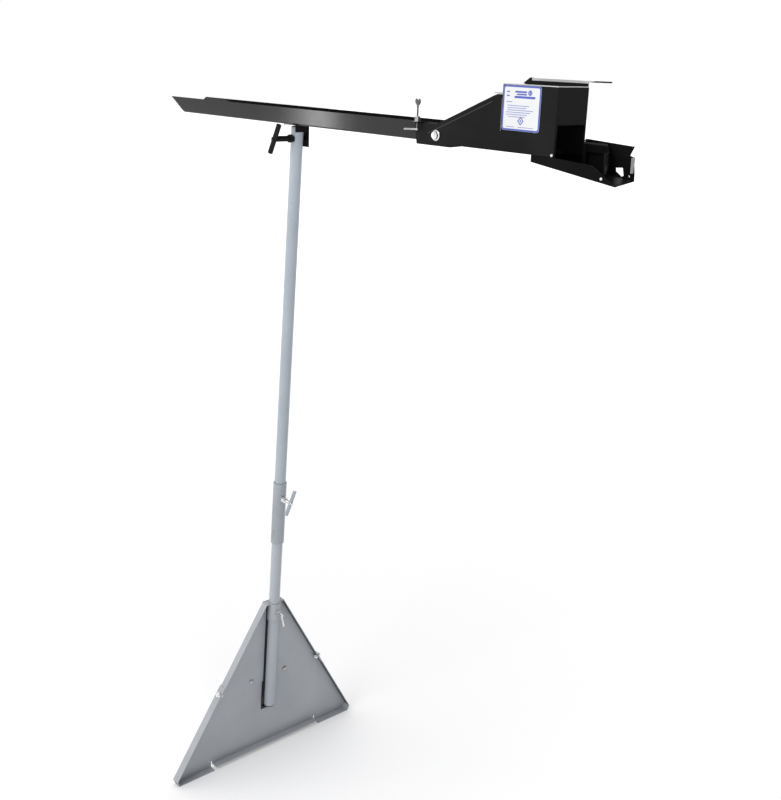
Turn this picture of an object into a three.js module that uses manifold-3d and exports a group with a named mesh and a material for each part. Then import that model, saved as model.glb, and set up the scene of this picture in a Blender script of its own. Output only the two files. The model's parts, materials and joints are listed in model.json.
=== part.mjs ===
// Automatic ball feeder for a baseball pitching machine: a ball trough on a clamped leg, with a
// folding feeder head that releases one ball at a time into a delivery chute.
// Millimetres. +X runs along the trough towards the head, +Y is across it, +Z is up. The origin is on
// the floor, midway between the two feet, where the leg's axis meets it.
import * as THREE from "three";
import { mergeVertices } from "three/addons/utils/BufferGeometryUtils.js";
import Module from "manifold-3d";

const wasm = await Module();
wasm.setup();

// ---------------------------------------------------------------- driving dimensions
const GAP = 0.3; // between pieces that touch
const LEG_LEAN = 4; // degrees from vertical, top towards the head
const LEG_LENGTH = 1913; // floor to trough underside, along the leg
const TUBE_R = 15.875; // 1-1/4 inch tube
const TUBE_WALL = 1.6;
const SLEEVE_R = 19.05; // 1-1/2 inch tube
const SLEEVE_BORE_R = TUBE_R + 0.325;
const SHEET = 1.5; // black sheet steel of the trough and the head
const BASE_SHEET = 2; // grey sheet steel of the base

const TROUGH_HALF = 45; // half the outside width
const TROUGH_WALL = 40; // wall height
const TROUGH_TIP_TOP = -535; // from the leg, along X
const TROUGH_TIP_FLOOR = -469;
const TROUGH_END = 612;
const BALL_R = 36.5;

const PIVOT_DROP = 37; // clamp axis below the trough
const BASE_HALF = 327.5; // half the base's width across the feet
const BASE_CORNER = 16; // height of the lower corners
const APEX_HALF = 34;
const APEX_HEIGHT = 519;
const PLATE_FRONT = -14; // base plate's front face, from the leg's axis
const BASE_LIP = 6; // front edge of the base's flanges
const SLOT_HALF = 18;
const SLOT_END = 132;
const LAP_TOP = 283; // the lower panel's top edge
const LAP_BOTTOM = 238; // the upper panel's bottom edge
const FOOT_INNER = 195; // inner end of each foot
const FOOT_STEP = 11; // the middle of the bottom flange stands this far off the floor

const HINGE = { x: 558, z: 14 };
const BOX = { x0: 745, x1: 888, y0: -49.8, y1: 42.5, z0: -3, z1: 130 };
const BOX_WALL = 1.5;
const DECK_Z = 84; // shelf over the ball passage
const WHEEL = { x: 812, z: 95, r: 33 };
const CHUTE = { x0: 828, x1: 1039, x1Far: 1013, z0: -17, slope: -0.129, y0: -47, y1: 46.5 };

const lean = THREE.MathUtils.degToRad(LEG_LEAN);
const troughX = LEG_LENGTH * Math.sin(lean);
const troughZ = LEG_LENGTH * Math.cos(lean);

// ---------------------------------------------------------------- materials
function paint(colour, roughness, metalness) {
  return new THREE.MeshStandardMaterial({ color: colour, roughness, metalness });
}
const greyPaint = paint(0x9ea3a9, 0.45, 0.1);
const tubePaint = paint(0xb7bbc0, 0.4, 0.1);
const blackPaint = paint(0x26272a, 0.42, 0.2);
const zinc = paint(0xc9ccd0, 0.3, 0.9);
const blackPlastic = paint(0x1a1a1c, 0.5, 0);
const labelVinyl = paint(0xe9ecef, 0.5, 0);
const steel = paint(0xa8abaf, 0.35, 0.9);
const rubber = paint(0x232323, 0.85, 0);
const boardGreen = paint(0x1f5a36, 0.5, 0.1);
const cellJacket = paint(0x7c5a2a, 0.45, 0.2);

// ---------------------------------------------------------------- solids
function solid(geometry) {
  const bare = geometry.index ? geometry.toNonIndexed() : geometry;
  bare.deleteAttribute("normal");
  bare.deleteAttribute("uv");
  const merged = mergeVertices(bare, 1e-4);
  const triVerts = new Uint32Array(merged.index.array);
  const vertProperties = merged.attributes.position.array;
  return new wasm.Manifold(new wasm.Mesh({ numProp: 3, vertProperties, triVerts }));
}

function geometryOf(manifold) {
  const mesh = manifold.getMesh();
  const geometry = new THREE.BufferGeometry();
  geometry.setAttribute("position", new THREE.BufferAttribute(mesh.vertProperties, 3));
  geometry.setIndex(new THREE.BufferAttribute(mesh.triVerts, 1));
  const flat = geometry.toNonIndexed();
  flat.computeVertexNormals();
  return flat;
}

function box(x0, x1, y0, y1, z0, z1) {
  const geometry = new THREE.BoxGeometry(x1 - x0, y1 - y0, z1 - z0);
  return solid(geometry.translate((x0 + x1) / 2, (y0 + y1) / 2, (z0 + z1) / 2));
}

function shapeOf(points) {
  return new THREE.Shape(points.map(([a, b]) => new THREE.Vector2(a, b)));
}

function extrude(points, from, to, basis) {
  const geometry = new THREE.ExtrudeGeometry(shapeOf(points), {
    depth: to - from,
    bevelEnabled: false,
  });
  geometry.translate(0, 0, from);
  return solid(geometry.applyMatrix4(basis));
}

const axisX = new THREE.Vector3(1, 0, 0);
const axisY = new THREE.Vector3(0, 1, 0);
const axisZ = new THREE.Vector3(0, 0, 1);
const alongZ = new THREE.Matrix4();
const alongX = new THREE.Matrix4().makeBasis(axisY, axisZ, axisX);
// (x, z) outlines run along -Y, so the ends swap places.
const alongMinusY = new THREE.Matrix4().makeBasis(axisX, axisZ, axisY.clone().negate());

const plateXY = (points, z0, z1) => extrude(points, z0, z1, alongZ);
const plateYZ = (points, x0, x1) => extrude(points, x0, x1, alongX);
const plateXZ = (points, y0, y1) => extrude(points, -y1, -y0, alongMinusY);

// A cylinder or prism from one point to another; sides 6 makes a hexagon.
function rod(from, to, radius, sides = 24) {
  const a = new THREE.Vector3(...from);
  const b = new THREE.Vector3(...to);
  const geometry = new THREE.CylinderGeometry(radius, radius, a.distanceTo(b), sides);
  const direction = b.clone().sub(a).normalize();
  const turn = new THREE.Quaternion().setFromUnitVectors(axisY, direction);
  geometry.applyQuaternion(turn);
  const middle = a.add(b).multiplyScalar(0.5);
  return solid(geometry.translate(middle.x, middle.y, middle.z));
}

// A solid of revolution about the line through centre along direction, from [radius, height] points.
function turned(profile, centre, direction, sides = 24) {
  const points = profile.map(([r, h]) => new THREE.Vector2(r, h));
  const geometry = new THREE.LatheGeometry(points, sides);
  const turn = new THREE.Quaternion().setFromUnitVectors(axisY, new THREE.Vector3(...direction));
  geometry.applyQuaternion(turn);
  return solid(geometry.translate(...centre));
}

function tube(radius, bore, z0, z1, sides = 32) {
  return rod([0, 0, z0], [0, 0, z1], radius, sides).subtract(
    rod([0, 0, z0 - 1], [0, 0, z1 + 1], bore, sides),
  );
}

const join = (first, ...rest) => rest.reduce((sum, next) => sum.add(next), first);
const cut = (first, ...rest) => rest.reduce((left, next) => left.subtract(next), first);

const root = new THREE.Group();
const stand = new THREE.Group();
const feeder = new THREE.Group();
stand.rotation.y = lean;
feeder.position.set(troughX, 0, troughZ);
root.add(stand, feeder);

function piece(group, name, manifold, material) {
  const mesh = new THREE.Mesh(geometryOf(manifold), material);
  mesh.name = name;
  group.add(mesh);
}

// ---------------------------------------------------------------- base, in the leg's own frame
const flankSlope = (BASE_HALF - APEX_HALF) / (APEX_HEIGHT - BASE_CORNER);
const flankStretch = Math.hypot(1, flankSlope);
// Half width of the base's outer face at height z, pulled in by a sheet count or a distance.
const halfAt = (z, inset = 0) => BASE_HALF - flankSlope * (z - BASE_CORNER) - inset * flankStretch;

function band(z0, z1, inset) {
  return [
    [-halfAt(z0, inset), z0],
    [halfAt(z0, inset), z0],
    [halfAt(z1, inset), z1],
    [-halfAt(z1, inset), z1],
  ];
}

// A sheet panel between two heights, with a flange along each sloping side.
function flankedPanel(z0, z1, inset, plateX) {
  const whole = plateYZ(band(z0, z1, inset), plateX - BASE_SHEET, BASE_LIP);
  const inside = plateYZ(band(z0 - 1, z1 + 1, inset + BASE_SHEET), plateX, BASE_LIP + 1);
  return cut(whole, inside);
}

function legSlot(z0, z1) {
  const half = SLOT_HALF;
  return join(
    box(PLATE_FRONT - 8, PLATE_FRONT + 1, -half, half, z0, z1),
    rod([PLATE_FRONT - 8, 0, z0], [PLATE_FRONT + 1, 0, z0], half, 32),
  );
}

// A level strip of flange at a height above the floor, seen in the leaning frame.
function levelFlange(y0, y1, height) {
  const back = PLATE_FRONT - 2 * BASE_SHEET - GAP;
  const at = (x, h) => h / Math.cos(lean) + x * Math.tan(lean);
  const outline = [
    [back, at(back, height)],
    [BASE_LIP, at(BASE_LIP, height)],
    [BASE_LIP, at(BASE_LIP, height + BASE_SHEET)],
    [back, at(back, height + BASE_SHEET)],
  ];
  return plateXZ(outline, y0, y1);
}

const lowerPlate = PLATE_FRONT - BASE_SHEET - GAP; // the lower panel laps behind the upper
const boltHeight = 254;
const boltY = 62;
const flangeBoltHeight = 262;

const footOuter = BASE_HALF - 8;

// The flange runs on round the cut-off corner to the foot.
function cornerFlange(side) {
  const outline = [
    [footOuter, -1],
    [BASE_HALF, BASE_CORNER],
    [BASE_HALF - 2.4, BASE_CORNER + 2],
    [footOuter - 2.4, 0.5],
  ];
  const turnedOver = side > 0 ? outline : outline.map(([y, z]) => [-y, z]).reverse();
  return plateYZ(turnedOver, lowerPlate - BASE_SHEET, BASE_LIP);
}

function lowerBasePanel() {
  const corner = [
    [footOuter, -2],
    [BASE_HALF + 2, -2],
    [BASE_HALF + 2, BASE_CORNER],
    [halfAt(BASE_CORNER), BASE_CORNER],
  ];
  const mirrored = corner.map(([y, z]) => [-y, z]).reverse();
  const reliefHalf = 2;
  const reliefs = [-1, 1].map((side) =>
    box(-40, 40, side * FOOT_INNER - reliefHalf, side * FOOT_INNER + reliefHalf, -2, FOOT_STEP + 9),
  );
  const holes = [-1, 1].map((side) =>
    rod([-30, side * boltY, boltHeight], [0, side * boltY, boltHeight], 3.4, 16),
  );
  return cut(
    join(
      flankedPanel(FOOT_STEP + BASE_SHEET, LAP_TOP, 0, lowerPlate),
      plateYZ(
        [
          [-BASE_HALF, FOOT_STEP],
          [BASE_HALF, FOOT_STEP],
          [halfAt(BASE_CORNER), BASE_CORNER],
          [-halfAt(BASE_CORNER), BASE_CORNER],
        ],
        lowerPlate - BASE_SHEET,
        lowerPlate,
      ),
      ...[-1, 1].map((side) => {
        const inner = Math.min(side * FOOT_INNER, side * BASE_HALF);
        const outer = Math.max(side * FOOT_INNER, side * BASE_HALF);
        return box(lowerPlate - BASE_SHEET, lowerPlate, inner, outer, -1, BASE_CORNER);
      }),
      ...[-1, 1].map((side) => cornerFlange(side)),
      levelFlange(-BASE_HALF, -FOOT_INNER, 0),
      levelFlange(FOOT_INNER, BASE_HALF, 0),
      levelFlange(-FOOT_INNER - 1, FOOT_INNER + 1, FOOT_STEP),
    ),
    plateYZ(corner, -40, 40),
    plateYZ(mirrored, -40, 40),
    ...reliefs,
    legSlot(SLOT_END + SLOT_HALF, LAP_TOP + 1),
    ...holes,
    ...flangeBoltHoles(),
    levelCutBelowFloor(),
  );
}

// Everything under the floor plane, in the leaning frame.
function levelCutBelowFloor() {
  const at = (x) => x * Math.tan(lean);
  return plateXZ(
    [
      [-60, at(-60) - 30],
      [60, at(60) - 30],
      [60, at(60)],
      [-60, at(-60)],
    ],
    -BASE_HALF - 5,
    BASE_HALF + 5,
  );
}

// The outward direction of a flank, and the middle of its flange at the bolt's height.
function flank(side) {
  const angle = Math.atan(flankSlope);
  const out = [0, side * Math.cos(angle), Math.sin(angle)];
  const at = (distance) => [
    -4,
    side * halfAt(flangeBoltHeight) + distance * out[1],
    flangeBoltHeight + distance * out[2],
  ];
  return { out, at };
}

function flangeBoltHoles() {
  return [-1, 1].map((side) => rod(flank(side).at(-9), flank(side).at(5), 3.4, 16));
}

function upperBasePanel() {
  const inset = BASE_SHEET + GAP;
  const top = plateYZ(band(APEX_HEIGHT - BASE_SHEET, APEX_HEIGHT, inset), PLATE_FRONT - 2, BASE_LIP);
  const holes = [-1, 1].map((side) =>
    rod([-30, side * boltY, boltHeight], [0, side * boltY, boltHeight], 3.4, 16),
  );
  return cut(
    join(flankedPanel(LAP_BOTTOM, APEX_HEIGHT, inset, PLATE_FRONT), top),
    box(-40, PLATE_FRONT + 1, -SLOT_HALF, SLOT_HALF, LAP_BOTTOM - 1, APEX_HEIGHT - 4),
    rod([0, 0, APEX_HEIGHT - 6], [0, 0, APEX_HEIGHT + 2], SLEEVE_R + GAP, 32),
    ...holes,
    ...flangeBoltHoles(),
  );
}

// The folded channel behind the slot, which the leg stands in, welded to the upper panel.
function tubeChannel() {
  const back = lowerPlate - BASE_SHEET - GAP;
  const depth = 11;
  const half = SLEEVE_R + 0.6;
  const top = APEX_HEIGHT - 8;
  const outer = join(
    box(back - depth, back, -half - 1.5, half + 1.5, SLOT_END - 3, top),
    box(back - depth, PLATE_FRONT - 1, -half - 1.5, half + 1.5, LAP_TOP + 1, top),
  );
  const inner = box(back - depth + 1.5, back + 9, -half, half, SLOT_END - 1.5, APEX_HEIGHT);
  return cut(outer, inner);
}

piece(stand, "lower_base_panel", lowerBasePanel(), greyPaint);
piece(stand, "upper_base_panel", join(upperBasePanel(), tubeChannel()), greyPaint);

const boltProfile = (headR, headH, shankR, shankL) => [
  [0, -shankL],
  [shankR, -shankL],
  [shankR, 0],
  [headR, 0],
  [headR, headH * 0.45],
  [headR * 0.72, headH * 0.85],
  [0, headH],
];

function nut(centre, direction, radius, bore, height) {
  const from = new THREE.Vector3(...centre);
  const to = from.clone().addScaledVector(new THREE.Vector3(...direction), height);
  const past = from.clone().addScaledVector(new THREE.Vector3(...direction), height + 1);
  const before = from.clone().addScaledVector(new THREE.Vector3(...direction), -1);
  return cut(rod(from.toArray(), to.toArray(), radius, 6), rod(before.toArray(), past.toArray(), bore, 16));
}

[-1, 1].forEach((side, i) => {
  const number = i + 1;
  const front = PLATE_FRONT + GAP;
  const plateBack = lowerPlate - BASE_SHEET - GAP;
  const centre = [front, side * boltY, boltHeight];
  piece(stand, `plate_bolt_${number}`, turned(boltProfile(7, 5, 3, 14), centre, [1, 0, 0], 16), zinc);
  const behind = [plateBack, side * boltY, boltHeight];
  piece(stand, `plate_nut_${number}`, nut(behind, [-1, 0, 0], 6.5, 3.3, 5.5), zinc);
  const { out, at } = flank(side);
  const inward = out.map((v) => -v);
  piece(stand, `flange_bolt_${number}`, turned(boltProfile(9, 8, 3, 15), at(GAP), out, 16), zinc);
  const inside = at(-2 * (BASE_SHEET + GAP));
  piece(stand, `flange_nut_${number}`, nut(inside, inward, 7.5, 3.3, 6.5), zinc);
});

// ---------------------------------------------------------------- collar and clamps on the leg
const COLLAR = { z0: 461, z1: APEX_HEIGHT - 0.5, clampZ: 492 };
const SLEEVE = { z0: 720, z1: 911, clampZ: 866, rivetZ: 758 };
const LOWER_TUBE = { z0: 158, z1: 812 };
const UPPER_TUBE = { z0: 814, z1: LEG_LENGTH - PIVOT_DROP + 29 };

function onLeg(direction, radius, z) {
  return [direction[0] * radius, direction[1] * radius, z];
}

// A collar or sleeve on the leg with a hole for its clamp screw.
function clampedSleeve(z0, z1, clampZ, direction) {
  return cut(
    tube(SLEEVE_R, SLEEVE_BORE_R, z0, z1, 40),
    rod(onLeg(direction, 10, clampZ), onLeg(direction, 24, clampZ), 4.3, 16),
  );
}

// The weld nut is scooped so that it sits on the round wall.
function weldNut(direction, clampZ, outer, radius) {
  return cut(
    rod(onLeg(direction, SLEEVE_R - 3, clampZ), onLeg(direction, outer, clampZ), radius, 6),
    rod([0, 0, clampZ - 20], [0, 0, clampZ + 20], SLEEVE_R + GAP, 40),
    rod(onLeg(direction, 10, clampZ), onLeg(direction, outer + 2, clampZ), 4.3, 16),
  );
}

// A clamp screw with a bar of its own through its outer end.
function clampScrew(direction, clampZ, barAt, shankR) {
  const bare = onLeg(direction, TUBE_R + GAP, clampZ);
  return join(
    rod(bare, onLeg(direction, barAt + 7, clampZ), 4, 16),
    rod(onLeg(direction, SLEEVE_R + 12, clampZ), onLeg(direction, barAt + 5, clampZ), shankR, 20),
  );
}

function bar(direction, clampZ, barAt, half, radius, tiltDegrees, slid = 0) {
  const tilt = THREE.MathUtils.degToRad(tiltDegrees);
  const across = [-direction[1], direction[0]];
  const centre = onLeg(direction, barAt, clampZ);
  const end = (sign) => [
    centre[0] + (sign * half + slid) * Math.sin(tilt) * across[0],
    centre[1] + (sign * half + slid) * Math.sin(tilt) * across[1],
    centre[2] + (sign * half + slid) * Math.cos(tilt),
  ];
  return rod(end(-1), end(1), radius, 20);
}

const front = [1, 0, 0];
piece(stand, "base_collar", clampedSleeve(COLLAR.z0, COLLAR.z1, COLLAR.clampZ, front), greyPaint);
piece(stand, "base_clamp_nut", weldNut(front, COLLAR.clampZ, 27, 8), zinc);
const baseScrew = clampScrew(front, COLLAR.clampZ, 36, 4.2);
const baseBar = bar(front, COLLAR.clampZ, 36, 26, 3.2, -15, -18);
piece(stand, "base_clamp_screw", join(baseScrew, baseBar), zinc);

const sleeveHole = rod([0, -25, SLEEVE.rivetZ], [0, -10, SLEEVE.rivetZ], 2.8, 16);
const sleeveBody = clampedSleeve(SLEEVE.z0, SLEEVE.z1, SLEEVE.clampZ, front);
piece(stand, "coupling_sleeve", cut(sleeveBody, sleeveHole), tubePaint);
piece(stand, "sleeve_clamp_nut", weldNut(front, SLEEVE.clampZ, 31, 10), zinc);
const sleeveBarAt = 53;
const sleeveBar = bar(front, SLEEVE.clampZ, sleeveBarAt, 37, 5.5, 21);
const sleeveScrew = clampScrew(front, SLEEVE.clampZ, sleeveBarAt, 5);
const barBore = bar(front, SLEEVE.clampZ, sleeveBarAt, 45, 5.5 + GAP, 21);
const screwNeck = rod(
  onLeg(front, sleeveBarAt - 12, SLEEVE.clampZ),
  onLeg(front, sleeveBarAt + 10, SLEEVE.clampZ),
  3.2,
  16,
);
const sleeveNeckBore = rod(
  onLeg(front, sleeveBarAt - 14, SLEEVE.clampZ),
  onLeg(front, sleeveBarAt + 12, SLEEVE.clampZ),
  3.2 + GAP,
  16,
);
piece(stand, "sleeve_clamp_screw", join(cut(sleeveScrew, barBore), screwNeck), zinc);
piece(stand, "sleeve_clamp_bar", cut(sleeveBar, sleeveNeckBore), tubePaint);

const rivetProfile = [
  [0, -8],
  [2.5, -8],
  [2.5, 0],
  [5, 0],
  [4, 1.8],
  [0, 2.6],
];
const rivetSeat = [0, -SLEEVE_R - GAP, SLEEVE.rivetZ];
piece(stand, "sleeve_rivet", turned(rivetProfile, rivetSeat, [0, -1, 0], 16), zinc);

const rivetHole = rod([0, -25, SLEEVE.rivetZ], [0, -6, SLEEVE.rivetZ], 2.8, 16);
const lowerTube = tube(TUBE_R, TUBE_R - TUBE_WALL, LOWER_TUBE.z0, LOWER_TUBE.z1);
piece(stand, "lower_tube", cut(lowerTube, rivetHole), tubePaint);

const plugProfile = [
  [0, -3],
  [TUBE_R - 1, -3],
  [TUBE_R, -1.5],
  [TUBE_R, -GAP],
  [TUBE_R - TUBE_WALL - GAP, -GAP],
  [TUBE_R - TUBE_WALL - GAP, 14],
  [0, 14],
];
piece(stand, "lower_tube_plug", turned(plugProfile, [0, 0, LOWER_TUBE.z0], [0, 0, 1], 32), blackPlastic);

// The pivot is on the leg's axis; its screw runs across the trough.
const pivotZ = LEG_LENGTH - PIVOT_DROP;
const pivotBore = rod([0, -30, pivotZ], [0, 30, pivotZ], 5.6, 20);
const upperTube = tube(TUBE_R, TUBE_R - TUBE_WALL, UPPER_TUBE.z0, UPPER_TUBE.z1);
piece(stand, "upper_tube", cut(upperTube, pivotBore), tubePaint);

const topNut = cut(
  rod([0, -TUBE_R + 3, pivotZ], [0, -27, pivotZ], 10.5, 6),
  rod([0, 0, pivotZ - 20], [0, 0, pivotZ + 20], TUBE_R + GAP, 40),
  pivotBore,
);
piece(stand, "top_clamp_nut", topNut, blackPaint);
const topBarAt = 70;
const topScrew = join(
  rod([0, -topBarAt - 7, pivotZ], [0, 31, pivotZ], 5, 20),
  rod([0, -topBarAt - 2, pivotZ], [0, -27.6, pivotZ], 7.2, 24),
);
const across = [0, -1, 0];
const topBar = bar(across, pivotZ, topBarAt, 40, 6.5, 24);
const topBarBore = bar(across, pivotZ, topBarAt, 47, 6.5 + GAP, 24);
const topNeck = rod([0, -topBarAt - 7.6, pivotZ], [0, -topBarAt + 12, pivotZ], 3.4, 16);
const topNeckBore = rod([0, -topBarAt - 12, pivotZ], [0, -topBarAt + 14, pivotZ], 3.4 + GAP, 16);
piece(stand, "top_clamp_screw", join(cut(topScrew, topBarBore), topNeck), blackPaint);
piece(stand, "top_clamp_bar", cut(topBar, topNeckBore), blackPlastic);
piece(stand, "pivot_locknut", nut([0, 24, pivotZ], [0, 1, 0], 9, 5.3, 6), zinc);

// ---------------------------------------------------------------- trough and saddle, in the feeder's frame
const pivotX = -PIVOT_DROP * Math.tan(lean);

function saddleBracket() {
  return cut(
    join(
      box(-22, 24, -24, 24, -3 - GAP, -GAP),
      box(21.2, 24, -24, 13, -20, -GAP),
      box(-18, 18, 20, 23, -58, -GAP),
    ),
    rod([pivotX, 10, -PIVOT_DROP], [pivotX, 30, -PIVOT_DROP], 5.6, 20),
  );
}
piece(feeder, "saddle_bracket", saddleBracket(), blackPaint);

// U section with rounded bottom bends, open at the top.
function channelSection(half, height, sheet, bend) {
  const arc = (cy, radius, from, to) => {
    const steps = 4;
    const points = [];
    for (let i = 0; i <= steps; i += 1) {
      const angle = from + ((to - from) * i) / steps;
      points.push([cy + radius * Math.cos(angle), bend + radius * Math.sin(angle)]);
    }
    return points;
  };
  const inner = bend - sheet;
  return [
    [-half, height],
    ...arc(-half + bend, bend, Math.PI, 1.5 * Math.PI),
    ...arc(half - bend, bend, 1.5 * Math.PI, 2 * Math.PI),
    [half, height],
    [half - sheet, height],
    ...arc(half - bend, inner, 2 * Math.PI, 1.5 * Math.PI),
    ...arc(-half + bend, inner, 1.5 * Math.PI, Math.PI),
    [-half + sheet, height],
  ];
}

function ballTrough() {
  const section = channelSection(TROUGH_HALF, TROUGH_WALL, SHEET, 4);
  const whole = plateYZ(section, TROUGH_TIP_TOP, TROUGH_END);
  const far = TROUGH_HALF + 5;
  const under = [
    [TROUGH_TIP_TOP - 1, -1],
    [TROUGH_TIP_FLOOR, -1],
    [TROUGH_TIP_FLOOR, 0],
    [TROUGH_TIP_TOP, TROUGH_WALL],
    [TROUGH_TIP_TOP - 1, TROUGH_WALL],
  ];
  const farCorner = [
    [TROUGH_TIP_TOP - 1, 24],
    [TROUGH_TIP_TOP + 12, 24],
    [TROUGH_TIP_TOP + 42, TROUGH_WALL + 1],
    [TROUGH_TIP_TOP - 1, TROUGH_WALL + 1],
  ];
  return cut(
    whole,
    plateXZ(under, -far, far),
    plateXZ(farCorner, 0, far),
    rod([HINGE.x, -far, HINGE.z], [HINGE.x, far, HINGE.z], 6.6, 24),
    ...rivetSpots.map(([x, y]) => rod([x, y, -5], [x, y, 5], 2.6, 12)),
  );
}
const rivetSpots = [
  [-12, 33],
  [-12, -33],
];

// The channel that carries the trough's end and turns on the hinge bolt.
function spliceChannel() {
  const outer = TROUGH_HALF + GAP + 2;
  const inner = TROUGH_HALF + GAP;
  const side = [
    [495, -8.3],
    [599, -8.3],
    [636, -3],
    [636, 20],
    [600, 37],
    [487, 37],
  ];
  const floor = box(493, 618, -inner - 1, inner + 1, -GAP - 2, -GAP);
  return cut(
    join(plateXZ(side, -outer, -inner), plateXZ(side, inner, outer), floor),
    rod([HINGE.x, -60, HINGE.z], [HINGE.x, 60, HINGE.z], 6.6, 24),
  );
}
const PIN = { x: 502, z: 23 };
const WING = { x: 502, y: -54 };
piece(feeder, "ball_trough", ballTroughWithPinHole(), blackPaint);
piece(feeder, "splice_channel", spliceWithClamp(), blackPaint);

function ballTroughWithPinHole() {
  return cut(ballTrough(), pinBore());
}

// A tab folded out from the splice's wall takes the wing screw, which holds the locking pin down.
function spliceWithClamp() {
  const inner = TROUGH_HALF + GAP;
  const tab = box(492, 512, -inner - 15, -inner, 37, 39);
  const rib = box(492, 512, -inner - 2, -inner, 20, 39);
  const bore = rod([WING.x, WING.y, 35], [WING.x, WING.y, 42], 2.5, 16);
  return cut(join(spliceChannel(), tab, rib), bore, pinBore());
}
function pinBore() {
  return rod([PIN.x, -60, PIN.z], [PIN.x, 0, PIN.z], 2.4, 12);
}

[1, 2].forEach((number) => {
  const [x, y] = rivetSpots[number - 1];
  const shape = [
    [0, -7],
    [2.3, -7],
    [2.3, 0],
    [5, 0],
    [4, 1.6],
    [0, 2.2],
  ];
  piece(feeder, `trough_rivet_${number}`, turned(shape, [x, y, SHEET + GAP], [0, 0, 1], 16), zinc);
});

const wingNut = nut([WING.x, WING.y, 39 + GAP], [0, 0, 1], 6.5, 2.5, 11);
piece(feeder, "wing_screw_nut", wingNut, zinc);
const wingOutline = [
  [-3.5, 74],
  [3.5, 74],
  [7, 79],
  [7, 85],
  [4, 87],
  [1, 83],
  [-1, 83],
  [-4, 87],
  [-7, 85],
  [-7, 79],
].map(([x, z]) => [WING.x + x, z]);
const wingScrew = join(
  rod([WING.x, WING.y, PIN.z + 2.6], [WING.x, WING.y, 76], 2.1, 16),
  plateXZ(wingOutline, WING.y - 1.5, WING.y + 1.5),
);
piece(feeder, "wing_screw", wingScrew, zinc);

// A bent wire pin: one leg through the splice's wall, one along its outside.
const pinOut = WING.y;
const lockingPin = join(
  rod([PIN.x, pinOut, PIN.z], [PIN.x, -36, PIN.z], 2.1, 12),
  rod([PIN.x, pinOut, PIN.z], [PIN.x - 41, pinOut, PIN.z - 2], 2.1, 12),
  rod([PIN.x, pinOut, PIN.z - 2.1], [PIN.x, pinOut, PIN.z + 2.1], 2.1, 12),
);
piece(feeder, "locking_pin", lockingPin, zinc);

// ---------------------------------------------------------------- feeder head
const cheekIn = TROUGH_HALF + GAP + 2 + GAP;
const cheekOut = cheekIn + SHEET;
const boxEnd = BOX.x0 - GAP;

function headFrame() {
  const near = [
    [524, -3],
    [boxEnd, -3],
    [boxEnd, 112],
    [741, 112],
    [721, 105],
    [574, 44.5],
    [519.5, 22],
  ];
  const far = [
    [524, -3],
    [boxEnd, -3],
    [boxEnd, 59.7],
    [737.6, 59.7],
    [737.6, 141],
    [728, 141],
    [700, 122],
    [574, 50],
    [519.5, 22],
  ];
  const floorIn = 43;
  const slantedFlange = [
    [600, 55.1],
    [725, 106.4],
    [725, 104.7],
    [600, 53.4],
  ];
  return cut(
    join(
      plateXZ(near, -cheekOut, -cheekIn),
      plateXZ(far, cheekIn, cheekOut),
      box(641, boxEnd, -cheekIn - 0.5, cheekIn + 0.5, -3, -3 + SHEET),
      box(boxEnd - 1, 838, -floorIn, 38, -3, -3 + SHEET),
      box(721, 737, -cheekIn - 0.5, cheekIn + 0.5, 109.5, 109.5 + SHEET),
      box(736, boxEnd, -cheekIn - 0.5, 42, 109.5, 109.5 + SHEET),
      plateXZ(slantedFlange, -cheekOut, -cheekOut + 11),
    ),
    rod([HINGE.x, -60, HINGE.z], [HINGE.x, 60, HINGE.z], 6.6, 24),
  );
}
piece(feeder, "head_frame", headFrame(), blackPaint);

const hingeProfile = [
  [0, -13],
  [6, -13],
  [6, 0],
  [11.5, 0],
  [11.5, 1.6],
  [9, 2.4],
  [8.4, 6.5],
  [0, 7.5],
];
[-1, 1].forEach((side, i) => {
  const seat = [HINGE.x, side * (cheekOut + GAP), HINGE.z];
  const bolt = turned(hingeProfile, seat, [0, side, 0], 28);
  piece(feeder, `hinge_bolt_${i + 1}`, bolt, zinc);
  const inside = [HINGE.x, side * (TROUGH_HALF - SHEET - GAP), HINGE.z];
  piece(feeder, `hinge_nut_${i + 1}`, nut(inside, [0, -side, 0], 10.5, 6.3, 5), zinc);
});

function boxShell() {
  const t = BOX_WALL;
  const outer = box(BOX.x0, BOX.x1, BOX.y0, BOX.y1, BOX.z0, BOX.z1 - 2 - GAP);
  const inner = box(BOX.x0 + t, BOX.x1 - t, BOX.y0 + t, BOX.y1 - t, BOX.z0 - 1, BOX.z1 + 1);
  const entry = box(BOX.x0 - 1, BOX.x0 + t + 1, -44, 38.5, BOX.z0 - 1, 80);
  const exit = box(BOX.x1 - t - 1, BOX.x1 + 1, -44, 38.5, BOX.z0 - 1, 57);
  const switchHole = box(BOX.x0 - 1, BOX.x0 + t + 1, SWITCH.y0, SWITCH.y1, SWITCH.z0, SWITCH.z1);
  return cut(
    outer,
    inner,
    entry,
    exit,
    switchHole,
    rod([CHUTE_SCREW.x, BOX.y0 - 1, CHUTE_SCREW.z], [CHUTE_SCREW.x, -40, CHUTE_SCREW.z], 1.9, 12),
  );
}
const SWITCH = { y0: -22, y1: -4, z0: 113.5, z1: 125.5 };
const CHUTE_SCREW = { x: 884, z: 0.5 };
piece(feeder, "box_shell", boxShell(), blackPaint);

function boxLid() {
  const top = BOX.z1;
  const lip = 2;
  const plate = box(BOX.x0, BOX.x1, BOX.y0, BOX.y1, top - lip, top);
  const rimOut = BOX_WALL + GAP;
  const rim = cut(
    box(BOX.x0 + rimOut, BOX.x1 - rimOut, BOX.y0 + rimOut, BOX.y1 - rimOut, top - 4, top - 1),
    box(BOX.x0 + 4, BOX.x1 - 4, BOX.y0 + 4, BOX.y1 - 4, top - 5, top - lip),
  );
  return join(plate, rim);
}
piece(feeder, "box_lid", boxLid(), blackPaint);

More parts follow.
